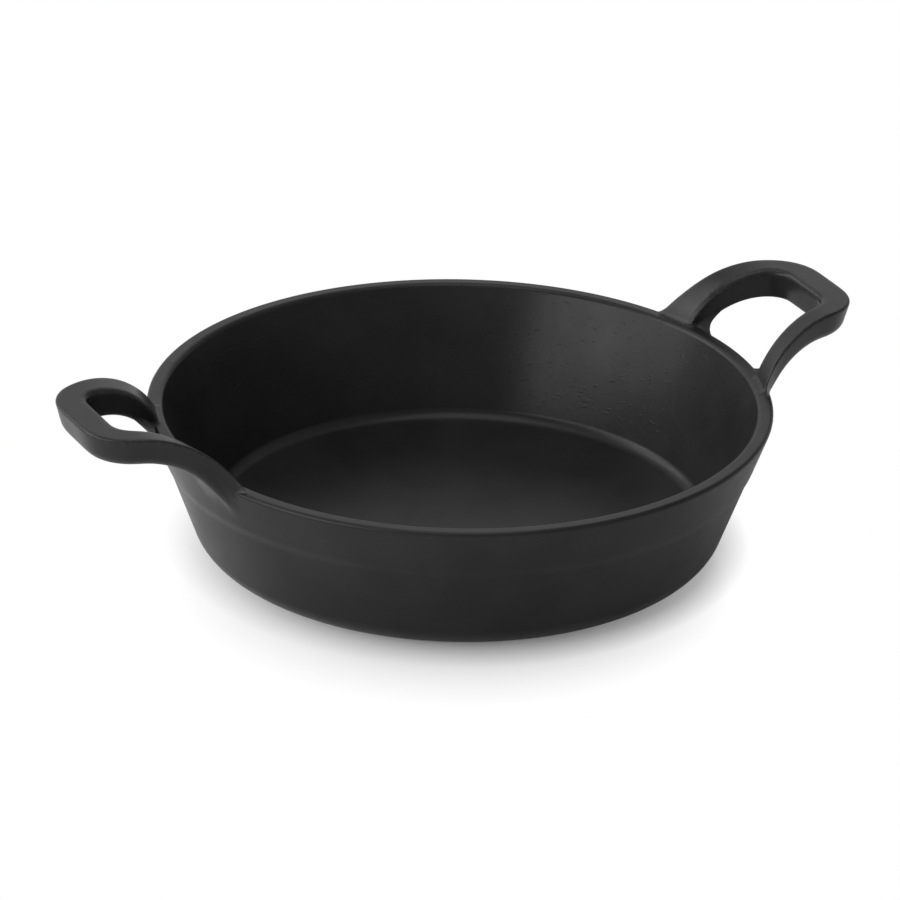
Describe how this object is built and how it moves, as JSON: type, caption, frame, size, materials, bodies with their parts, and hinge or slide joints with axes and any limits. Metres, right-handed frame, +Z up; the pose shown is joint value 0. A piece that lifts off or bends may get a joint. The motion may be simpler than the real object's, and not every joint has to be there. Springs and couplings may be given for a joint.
{
  "type": "serving pan",
  "caption": "Round cast iron serving pan with a flaring wall, a thick flat rim and a raised loop handle on each side, for cooking and carrying to the table.",
  "frame": {"origin": "on the table, under the centre of the bowl", "axes": "+X out through the right handle, +Z up"},
  "size_m": [0.2716, 0.2008, 0.0671],
  "materials": {
    "seasoned_iron": "matte black seasoned casting skin"
  },
  "bodies": {
    "root": {"pan_floor": "seasoned_iron", "pan_wall": "seasoned_iron", "pan_rim": "seasoned_iron", "right_handle_grip": "seasoned_iron", "right_handle_front_arm": "seasoned_iron", "right_handle_back_arm": "seasoned_iron", "left_handle_grip": "seasoned_iron", "left_handle_front_arm": "seasoned_iron", "left_handle_back_arm": "seasoned_iron"}
  },
  "joints": []
}
